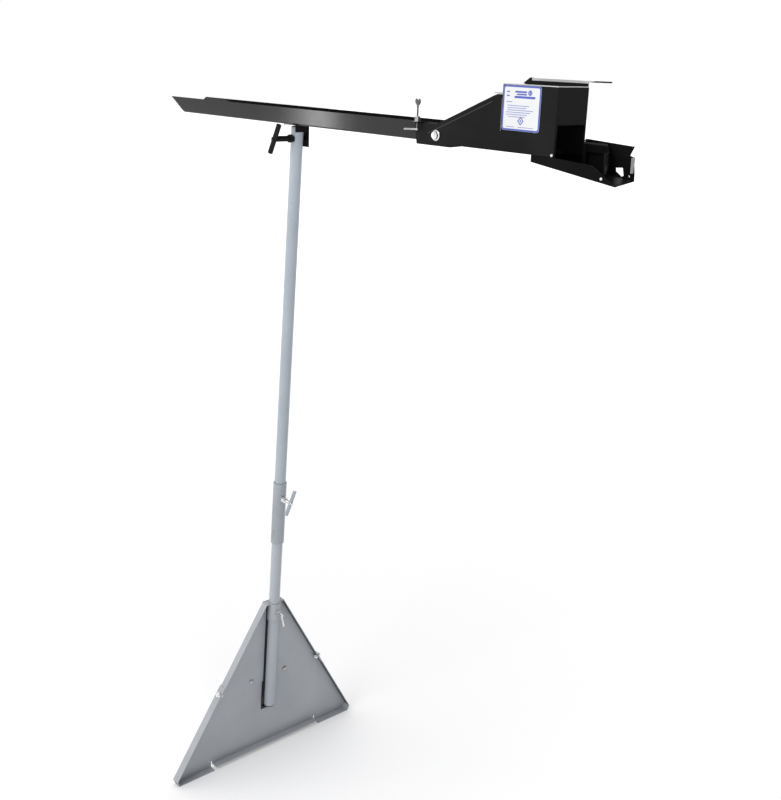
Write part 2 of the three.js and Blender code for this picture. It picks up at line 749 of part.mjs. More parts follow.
// The back plate rises behind the box and folds back into the flange that rests on the machine.
function hookPlate() {
  const back = BOX.y1 + GAP;
  const t = 2.5;
  const rise = 138;
  const x0 = BOX.x0 - 7;
  const x1 = BOX.x1 - 4;
  const reach = 33;
  const upright = plateXZ(
    [
      [x0, 60],
      [x1, 60],
      [x1, rise],
      [x0, rise],
    ],
    back,
    back + t,
  );
  const flange = plateXY(
    [
      [x0, back],
      [x1, back],
      [x1 + reach, back + reach],
      [x0 + 12, back + reach],
    ],
    rise - 0.5,
    rise + t,
  );
  return join(upright, flange);
}
piece(feeder, "hook_plate", hookPlate(), blackPaint);

const labelFace = BOX.y0 - GAP;
const labelPlate = plateXZ(
  [
    [747.5, 40],
    [847, 40],
    [847, 127.3],
    [747.5, 127.3],
  ],
  labelFace - 0.6,
  labelFace,
);
piece(feeder, "control_label", labelPlate, labelVinyl);

// ---------------------------------------------------------------- delivery chute
const chuteFloor = (x) => CHUTE.z0 + CHUTE.slope * (x - CHUTE.x0);

function deliveryChute() {
  const { x0, x1, x1Far, y0, y1 } = CHUTE;
  const t = SHEET;
  const floor = plateXZ(
    [
      [x0, chuteFloor(x0)],
      [x1, chuteFloor(x1)],
      [x1, chuteFloor(x1) + t],
      [x0, chuteFloor(x0) + t],
    ],
    y0,
    y1,
  );
  const under = BOX.z0 - GAP;
  const tabX = 872;
  const near = plateXZ(
    [
      [x0, chuteFloor(x0)],
      [x1 - 14, chuteFloor(x1 - 14)],
      [x1, chuteFloor(x1) + 3],
      [1009, -27],
      [1006, -23.4],
      [981, -10.6],
      [935, -6.7],
      [889, -4.2],
      [x0, under],
    ],
    y0,
    y0 + t,
  );
  const tab = box(tabX, BOX.x1 - 2, y0, y0 + t, under - 4, 6);
  const far = plateXZ(
    [
      [x0, chuteFloor(x0)],
      [x1Far, chuteFloor(x1Far)],
      [1012, -24],
      [1008, 4.5],
      [998, 7],
      [1007, 24.6],
      [BOX.x1 + GAP, 30.6],
      [BOX.x1 + GAP, under],
      [x0, under],
    ],
    y1 - t,
    y1,
  );
  const endTab = box(1008.5, 1010, 37, y1, -27, 4.5);
  const window = plateXZ(
    [
      [968.5, -25.4],
      [983, -34.5],
      [987.5, -31.7],
      [984, -17.2],
      [967, -18.8],
    ],
    y1 - t - 1,
    y1 + 1,
  );
  const obliqueEnd = plateXY(
    [
      [x1, y0 - 1],
      [x1 + 20, y0 - 1],
      [x1 + 20, y1 + 1],
      [x1Far, y1 + 1],
      [x1Far, y1 - t],
    ],
    -60,
    -30,
  );
  const topLug = box(BOX.x1 + GAP, 899, 33, y1 - 0.5, 27, 27 + t);
  const backLip = box(x0, x0 + t, y0, y1, chuteFloor(x0), under);
  return cut(
    join(floor, near, tab, far, topLug, endTab, backLip),
    window,
    obliqueEnd,
    rod([CHUTE_SCREW.x, -60, CHUTE_SCREW.z], [CHUTE_SCREW.x, -40, CHUTE_SCREW.z], 1.9, 12),
    rod([1006, -60, -32], [1006, -40, -32], 1.9, 12),
    rod([1001, 30, -33], [1001, 60, -33], 1.9, 12),
  );
}
piece(feeder, "delivery_chute", deliveryChute(), blackPaint);

const screwShape = (length) => [
  [0, -length],
  [1.6, -length],
  [1.6, 0],
  [3.2, 0],
  [2.8, 1.4],
  [0, 2.2],
];
const boxScrewSeat = [CHUTE_SCREW.x, BOX.y0 - GAP, CHUTE_SCREW.z];
piece(feeder, "box_screw", turned(screwShape(8), boxScrewSeat, [0, -1, 0], 16), zinc);
piece(feeder, "chute_screw_1", turned(screwShape(6), [1006, CHUTE.y0 - GAP, -32], [0, -1, 0], 16), zinc);
const farScrew = turned(screwShape(7), [1001, CHUTE.y1 - SHEET - GAP, -33], [0, -1, 0], 16);
piece(feeder, "chute_screw_2", farScrew, zinc);

// A sprung flap on an upright pin beside the box keeps the balls on the near side of the chute.
const FLAP = { x: 893, y: 37.5, top: 25 };
const flapCurve = new THREE.CatmullRomCurve3(
  [
    [896, 37.2],
    [915, 36.8],
    [935, 36.6],
    [949, 34.6],
    [960, 28],
    [965, 18],
    [965.5, 8],
  ].map(([x, y]) => new THREE.Vector3(x, y, 0)),
);

function retainingFlap() {
  const steps = 14;
  const half = 0.7;
  const left = [];
  const right = [];
  for (let i = 0; i <= steps; i += 1) {
    const at = flapCurve.getPoint(i / steps);
    const along = flapCurve.getTangent(i / steps);
    left.push([at.x - along.y * half, at.y + along.x * half]);
    right.unshift([at.x + along.y * half, at.y - along.x * half]);
  }
  const strip = plateXY([...right, ...left], -45, FLAP.top);
  const floorSide = plateXZ(
    [
      [860, -70],
      [1000, -70],
      [1000, chuteFloor(1000) + SHEET + 2],
      [860, chuteFloor(860) + SHEET + 2],
    ],
    -60,
    60,
  );
  const topCorner = plateXZ(
    [
      [FLAP.x + 56, FLAP.top + 1],
      [FLAP.x + 70, 10],
      [FLAP.x + 90, 10],
      [FLAP.x + 90, FLAP.top + 1],
    ],
    -60,
    60,
  );
  const taper = plateYZ(
    [
      [0, 12],
      [8, 10.5],
      [13.5, -40],
      [0, -40],
    ],
    FLAP.x + 50,
    FLAP.x + 90,
  );
  const underBand = plateXZ(
    [
      [FLAP.x + 7, -60],
      [FLAP.x + 52, -60],
      [FLAP.x + 56, -2],
      [FLAP.x + 50, 6],
      [FLAP.x + 7, 6],
    ],
    -60,
    60,
  );
  const knuckle = rod([FLAP.x, FLAP.y, -22], [FLAP.x, FLAP.y, FLAP.top], 3.4, 20);
  return cut(
    join(cut(strip, floorSide, topCorner, taper, underBand), knuckle),
    rod([FLAP.x, FLAP.y, -40], [FLAP.x, FLAP.y, 40], 1.9, 16),
  );
}
piece(feeder, "retaining_flap", retainingFlap(), blackPaint);
const pinFoot = chuteFloor(FLAP.x) + SHEET + 0.8;
const flapPin = rod([FLAP.x, FLAP.y, pinFoot], [FLAP.x, FLAP.y, 27 - GAP], 1.5, 16);
piece(feeder, "flap_pin", flapPin, zinc);

// ---------------------------------------------------------------- inside the box
const insideNear = BOX.y0 + BOX_WALL + GAP;
const insideFar = BOX.y1 - BOX_WALL - GAP;

function mountingDeck() {
  const x0 = BOX.x0 + BOX_WALL + GAP;
  const x1 = BOX.x1 - BOX_WALL - GAP;
  return cut(
    join(
      box(x0, x1, insideNear, insideFar, DECK_Z, DECK_Z + SHEET),
      box(x0, x1, insideNear, insideNear + SHEET, DECK_Z - 10, DECK_Z + SHEET),
      box(x0, x1, insideFar - SHEET, insideFar, DECK_Z - 10, DECK_Z + SHEET),
    ),
    box(WHEEL.x - 36, WHEEL.x + 36, -9.5, 9.5, DECK_Z - 1, DECK_Z + 3),
  );
}
piece(feeder, "mounting_deck", mountingDeck(), steel);

const deckTop = DECK_Z + SHEET + GAP;

function gearmotor() {
  const gearbox = box(WHEEL.x - 18, WHEEL.x + 18, -36, -11.5, deckTop, 119);
  const can = rod([WHEEL.x - 50, -26, 104], [WHEEL.x - 17, -26, 104], 13, 28);
  const boss = rod([WHEEL.x, -12, WHEEL.z], [WHEEL.x, -10, WHEEL.z], 7, 20);
  const shaftSeat = rod([WHEEL.x, -20, WHEEL.z], [WHEEL.x, 0, WHEEL.z], 4.3, 20);
  return cut(join(gearbox, can, boss), shaftSeat);
}
piece(feeder, "gearmotor", gearmotor(), steel);

const outputShaft = rod([WHEEL.x, -19.5, WHEEL.z], [WHEEL.x, 5.2, WHEEL.z], 4, 20);
piece(feeder, "output_shaft", outputShaft, zinc);

// Three rubber-tipped fingers on a hub.
function releaseWheel() {
  const fingers = [0, 1, 2].map((i) => {
    const angle = THREE.MathUtils.degToRad(90 + i * 120);
    const tip = [WHEEL.x + (WHEEL.r - 5) * Math.cos(angle), 0, WHEEL.z + (WHEEL.r - 5) * Math.sin(angle)];
    const arm = rod([WHEEL.x, 0, WHEEL.z], tip, 4, 16);
    return join(arm, rod([tip[0], -6, tip[2]], [tip[0], 5, tip[2]], 5, 20));
  });
  return cut(
    join(rod([WHEEL.x, -6, WHEEL.z], [WHEEL.x, 5, WHEEL.z], 9, 28), ...fingers),
    rod([WHEEL.x, -8, WHEEL.z], [WHEEL.x, 9, WHEEL.z], 4.3, 20),
  );
}
piece(feeder, "release_wheel", releaseWheel(), rubber);

const cellR = 16;
const cellY = insideFar - cellR - 1.5;
const cellZ = deckTop + cellR + 2.3;
[1, 2].forEach((number) => {
  const start = 757 + (number - 1) * 61.5;
  const profile = [
    [0, 0],
    [cellR, 0],
    [cellR, 57],
    [5, 57],
    [5, 59],
    [0, 59],
  ];
  const cell = turned(profile, [start, cellY, cellZ], [1, 0, 0], 28);
  piece(feeder, `battery_cell_${number}`, cell, cellJacket);
});
const holder = cut(
  box(753, 882, cellY - cellR - 1, insideFar - GAP, deckTop, deckTop + 14),
  box(755, 880, cellY - cellR + 0.5, insideFar - 1.5, deckTop + 1.8, deckTop + 20),
);
piece(feeder, "battery_holder", holder, blackPlastic);

const board = join(
  box(846, 884, -44, -13, deckTop + 3, deckTop + 4.6),
  box(850, 862, -40, -28, deckTop + 4, deckTop + 14),
  rod([874, -22, deckTop + 4], [874, -22, deckTop + 18], 5, 16),
  box(848, 880, -18, -14, deckTop, deckTop + 3.5),
);
piece(feeder, "controller_board", board, boardGreen);

const switchBody = join(
  box(
    BOX.x0 - GAP - 1.2,
    BOX.x0 - GAP,
    SWITCH.y0 - 1.5,
    SWITCH.y1 + 1.5,
    SWITCH.z0 - 1.5,
    SWITCH.z1 + 1,
  ),
  box(BOX.x0 - 1, BOX.x0 + 12, SWITCH.y0 + 0.4, SWITCH.y1 - 0.4, SWITCH.z0 + 0.4, SWITCH.z1 - 0.4),
);
const switchWell = box(
  BOX.x0 - 3,
  BOX.x0 + 6,
  SWITCH.y0 + 1.6,
  SWITCH.y1 - 1.6,
  SWITCH.z0 + 1.6,
  SWITCH.z1 - 1.6,
);
piece(feeder, "switch_body", cut(switchBody, switchWell), blackPlastic);
const switchMid = (SWITCH.y0 + SWITCH.y1) / 2;
const rockerHalf = (SWITCH.y1 - SWITCH.y0) / 2 - 2.8;
const rocker = plateXY(
  [
    [BOX.x0 - 3.6, switchMid - rockerHalf],
    [BOX.x0 - 1.8, switchMid],
    [BOX.x0 - 2.2, switchMid + rockerHalf],
    [BOX.x0 + 1, switchMid + rockerHalf],
    [BOX.x0 + 2.6, switchMid],
    [BOX.x0 + 1, switchMid - rockerHalf],
  ],
  SWITCH.z0 + 2,
  SWITCH.z1 - 2,
);
piece(feeder, "switch_rocker", rocker, blackPlastic);

export default root;
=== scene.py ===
"""Looks for the ball feeder: materials, detailed pieces, floor, light and camera."""
import json
import math

import bmesh
import bpy
from mathutils import Matrix, Vector


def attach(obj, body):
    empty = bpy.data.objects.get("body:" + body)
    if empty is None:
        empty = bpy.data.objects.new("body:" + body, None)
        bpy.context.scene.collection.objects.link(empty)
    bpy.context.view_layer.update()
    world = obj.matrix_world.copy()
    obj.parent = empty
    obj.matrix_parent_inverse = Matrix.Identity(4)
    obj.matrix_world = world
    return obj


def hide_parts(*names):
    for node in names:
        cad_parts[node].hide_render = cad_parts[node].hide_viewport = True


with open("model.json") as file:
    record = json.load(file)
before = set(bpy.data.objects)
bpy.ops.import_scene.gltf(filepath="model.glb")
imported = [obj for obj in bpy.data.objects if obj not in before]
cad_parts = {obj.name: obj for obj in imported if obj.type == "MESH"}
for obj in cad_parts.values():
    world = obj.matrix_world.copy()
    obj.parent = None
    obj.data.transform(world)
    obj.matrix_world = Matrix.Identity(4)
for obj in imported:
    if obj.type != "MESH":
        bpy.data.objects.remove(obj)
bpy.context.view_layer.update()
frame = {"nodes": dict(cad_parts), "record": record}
nodes = frame["nodes"]


def link(obj):
    bpy.context.scene.collection.objects.link(obj)
    return obj


# ---------------------------------------------------------------- camera
AZIMUTH = math.radians(47.9)
ELEVATION = math.radians(17.55)
ROLL = math.radians(-2.0)
CAMERA_AT = Vector((2.4455, -1.7394, 2.0935))
SENSOR_MM = 36
LENS_MM = 50.98

forward = Vector(
    (
        -math.sin(AZIMUTH) * math.cos(ELEVATION),
        math.cos(AZIMUTH) * math.cos(ELEVATION),
        -math.sin(ELEVATION),
    )
)
level_right = forward.cross(Vector((0, 0, 1))).normalized()
level_down = forward.cross(level_right)
right = math.cos(ROLL) * level_right + math.sin(ROLL) * level_down
down = -math.sin(ROLL) * level_right + math.cos(ROLL) * level_down
camera_data = bpy.data.cameras.new("camera")
camera_data.sensor_fit = "HORIZONTAL"
camera_data.sensor_width = SENSOR_MM
camera_data.lens = LENS_MM
camera = link(bpy.data.objects.new("camera", camera_data))
camera.matrix_world = Matrix(
    (
        (right.x, -down.x, -forward.x, CAMERA_AT.x),
        (right.y, -down.y, -forward.y, CAMERA_AT.y),
        (right.z, -down.z, -forward.z, CAMERA_AT.z),
        (0, 0, 0, 1),
    )
)
bpy.context.scene.camera = camera


# ---------------------------------------------------------------- materials
# Noise scales, in patches per metre.
MOTTLE, GLOSS_PATCHES, FLECKS, ORANGE_PEEL = 9, 35, 260, 900
PEEL_DEPTH = 0.0004
ALONG_X, ALONG_Y, ALONG_Z = (1, 0, 0), (0, 1, 0), (0, 0, 1)
LEAN = math.radians(4)
ACROSS_LEG = (math.cos(LEAN), 0, -math.sin(LEAN))
# The colour of the painted shade in the channel behind the base's slot, where it lies in shadow.
SLOT_SHADE = (0.012, 0.013, 0.015, 1)


def new_material(name):
    material = bpy.data.materials.new(name)
    material.use_nodes = True
    tree = material.node_tree
    return material, tree, tree.nodes["Principled BSDF"]


def noise(tree, scale, detail=4.0, roughness=0.5, stretch=None):
    coordinates = tree.nodes.new("ShaderNodeTexCoord")
    texture = tree.nodes.new("ShaderNodeTexNoise")
    texture.inputs["Scale"].default_value = scale
    texture.inputs["Detail"].default_value = detail
    texture.inputs["Roughness"].default_value = roughness
    source = coordinates.outputs["Object"]
    if stretch:
        mapping = tree.nodes.new("ShaderNodeMapping")
        mapping.inputs["Scale"].default_value = stretch
        tree.links.new(source, mapping.inputs["Vector"])
        source = mapping.outputs["Vector"]
    tree.links.new(source, texture.inputs["Vector"])
    return texture.outputs["Fac"]


def ramp(tree, factor, stops):
    node = tree.nodes.new("ShaderNodeValToRGB")
    elements = node.color_ramp.elements
    elements[0].position, elements[0].color = stops[0]
    elements[1].position, elements[1].color = stops[-1]
    for position, colour in stops[1:-1]:
        element = elements.new(position)
        element.color = colour
    tree.links.new(factor, node.inputs["Fac"])
    return node.outputs["Color"]


def grey(value):
    return (value, value, value, 1)


def bump(tree, shader, height, strength, distance):
    node = tree.nodes.new("ShaderNodeBump")
    node.inputs["Strength"].default_value = strength
    node.inputs["Distance"].default_value = distance
    tree.links.new(height, node.inputs["Height"])
    tree.links.new(node.outputs["Normal"], shader.inputs["Normal"])


def facing(tree, axis, low, high):
    """0 to 1 as a face's own normal turns from low to high along one axis of its piece."""
    coordinates = tree.nodes.new("ShaderNodeTexCoord")
    split = tree.nodes.new("ShaderNodeSeparateXYZ")
    tree.links.new(coordinates.outputs["Normal"], split.inputs["Vector"])
    spread = tree.nodes.new("ShaderNodeMapRange")
    spread.inputs["From Min"].default_value = low
    spread.inputs["From Max"].default_value = high
    tree.links.new(split.outputs[axis], spread.inputs["Value"])
    return spread.outputs["Result"]


def mixed(tree, factor, first, second):
    node = tree.nodes.new("ShaderNodeMix")
    node.data_type = "RGBA"
    tree.links.new(factor, node.inputs["Factor"])
    for socket, value in ((node.inputs[6], first), (node.inputs[7], second)):
        if isinstance(value, tuple):
            socket.default_value = value
        else:
            tree.links.new(value, socket)
    return node.outputs[2]


def times(tree, first, second):
    """The product of two values, or the second if there is no first yet."""
    if first is None:
        return second
    node = tree.nodes.new("ShaderNodeMath")
    node.operation = "MULTIPLY"
    tree.links.new(first, node.inputs[0])
    tree.links.new(second, node.inputs[1])
    return node.outputs[0]


def within(tree, direction, low, high, soft=0.0006):
    """1 where a point of the resting piece lies between two distances along a direction, else 0."""
    coordinates = tree.nodes.new("ShaderNodeTexCoord")
    along = tree.nodes.new("ShaderNodeVectorMath")
    along.operation = "DOT_PRODUCT"
    along.inputs[1].default_value = direction
    tree.links.new(coordinates.outputs["Object"], along.inputs[0])
    product = None
    for first, last in ((low - soft, low), (high + soft, high)):
        spread = tree.nodes.new("ShaderNodeMapRange")
        spread.inputs["From Min"].default_value = first
        spread.inputs["From Max"].default_value = last
        tree.links.new(along.outputs["Value"], spread.inputs["Value"])
        product = times(tree, product, spread.outputs["Result"])
    return product


def between(tree, scale, detail, first, last):
    """A mottle of two colours or values by a noise of this scale."""
    return ramp(tree, noise(tree, scale, detail), [(0.3, first), (0.7, last)])


def coated(
    name,
    low,
    high,
    roughness,
    peel=0.12,
    ior=1.5,
    shaded=None,
    polished=False,
    painted_slot_shade=False,
    highlight_bands=(),
    dull_top=False,
):
    """A powder-coated or painted sheet: mottled colour, fine orange peel and uneven gloss.

    shaded is the colour of a painted shade on faces that look down. polished gives faces that look up a
    clear gloss, and dull_top a matt finish. painted_slot_shade paints shade into the channel behind the
    base's slot.
    highlight_bands are painted highlights and reflections, each a shade with the limits of the band it
    fills.
    """
    material, tree, shader = new_material(name)
    colour = between(tree, MOTTLE, 5, (*low, 1), (*high, 1))
    flecks = ramp(tree, noise(tree, FLECKS, 3, 0.7), [(0.66, grey(0)), (0.74, grey(1))])
    worn = tuple(min(1.0, value * 1.25 + 0.004) for value in high)
    colour = mixed(tree, flecks, colour, (*worn, 1))
    # Painted shade: faces that look down take the darker colour given as shaded.
    if shaded:
        colour = mixed(tree, facing(tree, "Z", -0.15, -0.45), colour, (*shaded, 1))
    # Painted shade: the channel behind the base's slot is darkened where shadow falls in it.
    if painted_slot_shade:
        depth = within(tree, ACROSS_LEG, -0.0286, -0.0163)
        width = within(tree, ALONG_Y, -0.0199, 0.0199)
        height = within(tree, ALONG_Z, 0.1335, 0.515)
        dark = times(tree, times(tree, depth, width), height)
        colour = mixed(tree, dark, colour, SLOT_SHADE)
    # Painted highlights: each band is filled with its lighter shade where edges and creases catch the
    # light.
    for shade, *band in highlight_bands:
        highlight_mask = None
        for direction, near, far in band:
            highlight_mask = times(tree, highlight_mask, within(tree, direction, near, far, 0.0002))
        colour = mixed(tree, highlight_mask, colour, (*shade, 1))
    tree.links.new(colour, shader.inputs["Base Color"])
    gloss = between(tree, GLOSS_PATCHES, 6, grey(roughness[0]), grey(roughness[1]))
    if dull_top:
        gloss = mixed(tree, facing(tree, "Z", 0.3, 0.6), gloss, grey(0.75))
    if polished:
        upward = facing(tree, "Z", 0.75, 0.95)
        gloss = mixed(tree, upward, gloss, grey(0.05))
        tree.links.new(upward, shader.inputs["Coat Weight"])
        shader.inputs["Coat Roughness"].default_value = 0.02
    tree.links.new(gloss, shader.inputs["Roughness"])
    shader.inputs["IOR"].default_value = ior
    bump(tree, shader, noise(tree, ORANGE_PEEL, 2), peel, PEEL_DEPTH)
    return material


def metal(name, low, high, roughness, stretch=None, scale=120):
    """Plated or bare metal. stretch multiplies the noise's scale on each axis, for fine banding."""
    material, tree, shader = new_material(name)
    tree.links.new(between(tree, 40, 5, (*low, 1), (*high, 1)), shader.inputs["Base Color"])
    streaks = noise(tree, scale, 6, stretch=stretch)
    gloss = ramp(tree, streaks, [(0.3, grey(roughness[0])), (0.7, grey(roughness[1]))])
    tree.links.new(gloss, shader.inputs["Roughness"])
    shader.inputs["Metallic"].default_value = 1.0
    bump(tree, shader, noise(tree, scale * 3, 4, stretch=stretch), 0.08, 0.0003)
    return material


# The base paint has painted shade on faces that look down and in the channel behind its slot.
base_paint = coated(
    "base_paint",
    (0.37, 0.39, 0.42),
    (0.425, 0.445, 0.475),
    (0.34, 0.46),
    shaded=(0.06, 0.064, 0.072),
    painted_slot_shade=True,
)
tube_paint = coated("tube_paint", (0.33, 0.375, 0.42), (0.375, 0.42, 0.465), (0.26, 0.38))
sleeve_paint = coated("sleeve_paint", (0.29, 0.32, 0.35), (0.335, 0.365, 0.395), (0.26, 0.38))
lower_tube_paint = coated("lower_tube_paint", (0.37, 0.405, 0.44), (0.41, 0.445, 0.48), (0.26, 0.38))
BLACK = {
    "low": (0.006, 0.006, 0.0065),
    "high": (0.011, 0.011, 0.0115),
    "roughness": (0.34, 0.5),
    "ior": 1.15,
}
black_paint = coated("black_paint", polished=True, **BLACK)
# Painted highlights and reflections: bands of lighter colour on edges and creases where the light falls,
# here along the lid's near and end edges and the hook plate's bend. Each band is a shade and the limits
# it lies in, in metres along a direction of the resting part.
BRIGHT = (0.50, 0.50, 0.51)
lid_paint = coated(
    "lid_paint",
    polished=True,
    highlight_bands=((BRIGHT, (ALONG_Y, -0.0505, -0.0482)), (BRIGHT, (ALONG_X, 1.0200, 1.0230))),
    **BLACK,
)
# A painted highlight along the hook plate's bend.
HOOK_BEND = ((0, -0.5, 1), 2.0226, 2.0400)
hook_paint = coated("hook_paint", polished=True, highlight_bands=((BRIGHT, HOOK_BEND),), **BLACK)
NEAR_CHEEK = (ALONG_Y, -0.0510, -0.0455)
CROSS_STRAP = ((ALONG_Z, 2.0165, 2.0206), (ALONG_X, 0.8560, 0.8785), (ALONG_Y, -0.0510, 0.0455))
CHEEK_SLOPE_NORMAL = (-0.3806, 0, 0.9247)
# Painted highlights on the head frame: the cross strap painted light, a light line along the near cheek's
# sloped bend, and a light line on the near cheek beside the label.
head_paint = coated(
    "head_paint",
    highlight_bands=(
        ((0.38, 0.38, 0.38), *CROSS_STRAP),
        (
            (0.05, 0.05, 0.052),
            (CHEEK_SLOPE_NORMAL, 1.5262, 1.5276),
            (ALONG_X, 0.665, 0.850),
            NEAR_CHEEK,
        ),
        ((0.16, 0.16, 0.16), (ALONG_X, 0.8766, 0.8785), (ALONG_Z, 1.945, 2.010), NEAR_CHEEK),
    ),
    **BLACK,
)
# A painted highlight on the chute's end tab.
CHUTE_END_TAB = ((ALONG_X, 1.1417, 1.1436), (ALONG_Y, 0.0368, 0.0470), (ALONG_Z, 1.883, 1.914))
chute_paint = coated(
    "chute_paint",
    (0.0035, 0.0035, 0.004),
    (0.007, 0.007, 0.0075),
    (0.36, 0.5),
    ior=1.1,
    highlight_bands=(((0.34, 0.34, 0.35), *CHUTE_END_TAB),),
)
flap_paint = coated(
    "flap_paint",
    (0.0035, 0.0035, 0.004),
    (0.007, 0.007, 0.0075),
    (0.3, 0.42),
    ior=1.15,
    # Painted highlights on the flap: the tongue painted lighter where the light falls on it, and a light
    # line along its top edge.
    highlight_bands=(
        ((0.022, 0.022, 0.023), (ALONG_X, 1.0940, 1.1100), (ALONG_Z, 1.86, 1.9195)),
        ((0.035, 0.037, 0.04), (ALONG_Z, 1.9300, 1.9360)),
    ),
)
trough_paint = coated(
    "trough_paint",
    (0.006, 0.006, 0.006),
    (0.010, 0.010, 0.0105),
    (0.10, 0.13),
    0.02,
    ior=1.35,
    dull_top=True,
)
zinc = metal("zinc", (0.62, 0.63, 0.65), (0.8, 0.8, 0.8), (0.18, 0.34))
dull_zinc = metal("dull_zinc", (0.36, 0.365, 0.37), (0.55, 0.55, 0.56), (0.28, 0.45))
dark_steel = metal("dark_steel", (0.07, 0.07, 0.075), (0.20, 0.20, 0.205), (0.25, 0.4))
spring_steel = metal("spring_steel", (0.5, 0.51, 0.53), (0.64, 0.64, 0.65), (0.25, 0.4), (1, 1, 12))
black_plastic = coated(
    "black_plastic", (0.005, 0.005, 0.005), (0.010, 0.010, 0.011), (0.3, 0.45), 0.2, ior=1.2
)
rubber = coated("rubber", (0.014, 0.014, 0.014), (0.024, 0.023, 0.023), (0.7, 0.9), 0.3)
label_face = coated("label", (0.61, 0.612, 0.62), (0.66, 0.662, 0.67), (0.35, 0.45), 0.02)
label_blue = coated("label_blue", (0.05, 0.085, 0.36), (0.065, 0.10, 0.41), (0.35, 0.45), 0.02)
label_grey = coated("label_grey", (0.19, 0.23, 0.47), (0.22, 0.26, 0.50), (0.35, 0.45), 0.02)
board_green = coated("board", (0.01, 0.09, 0.03), (0.015, 0.13, 0.045), (0.3, 0.45), 0.1)
cell_jacket = coated("cell_jacket", (0.2, 0.1, 0.03), (0.24, 0.12, 0.035), (0.25, 0.35), 0.02)
by_slot = {
    "base_paint": base_paint,
    "tube_paint": tube_paint,
    "black_paint": black_paint,
    "zinc": zinc,
    "spring_steel": spring_steel,
    "black_plastic": black_plastic,
    "rubber": rubber,
    "label": label_face,
    "board": board_green,
    "cell_jacket": cell_jacket,
}
by_node = {
    "ball_trough": trough_paint,
    "delivery_chute": chute_paint,
    "retaining_flap": flap_paint,
    "wing_screw": dark_steel,
    "box_lid": lid_paint,
    "hook_plate": hook_paint,
    "head_frame": head_paint,
    "coupling_sleeve": sleeve_paint,
    "lower_tube": lower_tube_paint,
}
DULL = "plate_bolt_1 plate_bolt_2 plate_nut_1 plate_nut_2 wing_screw_nut locking_pin sleeve_rivet"
by_node.update({node: dull_zinc for node in DULL.split()})
slot_of = {s["node"]: s["material_slot"] for s in frame["record"]["subparts"]}
body_of = {n: body for body, names in frame["record"]["behaviour"]["bodies"].items() for n in names}

# ---------------------------------------------------------------- finished pieces
# Each sheet, tube and fastener is rebuilt from its node with the small edge radius it really has.
EDGE = {
    "base_paint": 0.0007,
    "tube_paint": 0.0005,
    "black_paint": 0.0006,
    "zinc": 0.0003,
    "spring_steel": 0.0003,
    "black_plastic": 0.0005,
    "rubber": 0.0006,
    "label": 0.00015,
    "board": 0.0002,
    "cell_jacket": 0.0006,
}
EDGE_ANGLE = math.radians(38)
FLAT_ANGLE = math.radians(1)
WELD = 1e-6


def finish_piece(obj, material, body, slot, *replaced):
    obj.data.materials.clear()
    obj.data.materials.append(material)
    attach(obj, body)
    if replaced:
        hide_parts(*replaced)
    return obj


def softened(name):
    """A copy of a node with its sharp edges rounded and its curved faces smooth."""
    slot = slot_of[name]
    work = bmesh.new()
    work.from_mesh(nodes[name].data)
    bmesh.ops.remove_doubles(work, verts=work.verts, dist=WELD)
    bmesh.ops.dissolve_limit(work, angle_limit=FLAT_ANGLE, verts=work.verts, edges=work.edges)
    mesh = bpy.data.meshes.new(name + "_finished")
    work.to_mesh(mesh)
    work.free()
    for polygon in mesh.polygons:
        polygon.use_smooth = True
    obj = link(bpy.data.objects.new(name + "_finished", mesh))
    bevel = obj.modifiers.new("edge", "BEVEL")
    bevel.width = EDGE[slot]
    bevel.segments = 2
    bevel.limit_method = "ANGLE"
    bevel.angle_limit = EDGE_ANGLE
    bevel.use_clamp_overlap = True
    flat = obj.modifiers.new("flat", "WEIGHTED_NORMAL")
    flat.weight = 100
    flat.keep_sharp = True
    return finish_piece(obj, by_node.get(name, by_slot[slot]), body_of[name], slot, name)


for name in sorted(nodes):
    nodes[name].data.materials.clear()
    nodes[name].data.materials.append(by_node.get(name, by_slot[slot_of[name]]))
    if name != "control_label":
        softened(name)

# ---------------------------------------------------------------- label
# The sheet has rounded corners, a blue border, a ball mark and plain bars in place of writing.
# Lengths here are millimetres from the feeder's origin, where the leg's axis meets the trough's
# underside.
FEEDER = Vector((0.13344, 0, 1.90834))
LABEL_LEFT, LABEL_RIGHT = 747.5, 847.0
LABEL_LOW, LABEL_HIGH = 40.0, 127.3
LABEL_BACK, LABEL_FRONT = -50.1, -50.7
PRINT_BACK, PRINT_FRONT = LABEL_FRONT - 0.01, LABEL_FRONT - 0.05
BORDER = 3.6
BALL_RIGHT, BALL_DOWN, BALL_RADIUS = 71, 13.5, 5.2
DIAMOND_RIGHT, DIAMOND_UP = 50, 19.5
SEAM_RADIUS = 4.0
LINE_STEP = 4.3


def rounded(x0, x1, z0, z1, radius, steps=6):
    points = []
    for cx, cz, start in (
        (x1 - radius, z1 - radius, 0),
        (x0 + radius, z1 - radius, 90),
        (x0 + radius, z0 + radius, 180),
        (x1 - radius, z0 + radius, 270),
    ):
        for i in range(steps + 1):
            angle = math.radians(start + 90 * i / steps)
            points.append((cx + radius * math.cos(angle), cz + radius * math.sin(angle)))
    return points


def at_label(x, y, z):
    return FEEDER + Vector((x, y, z)) / 1000


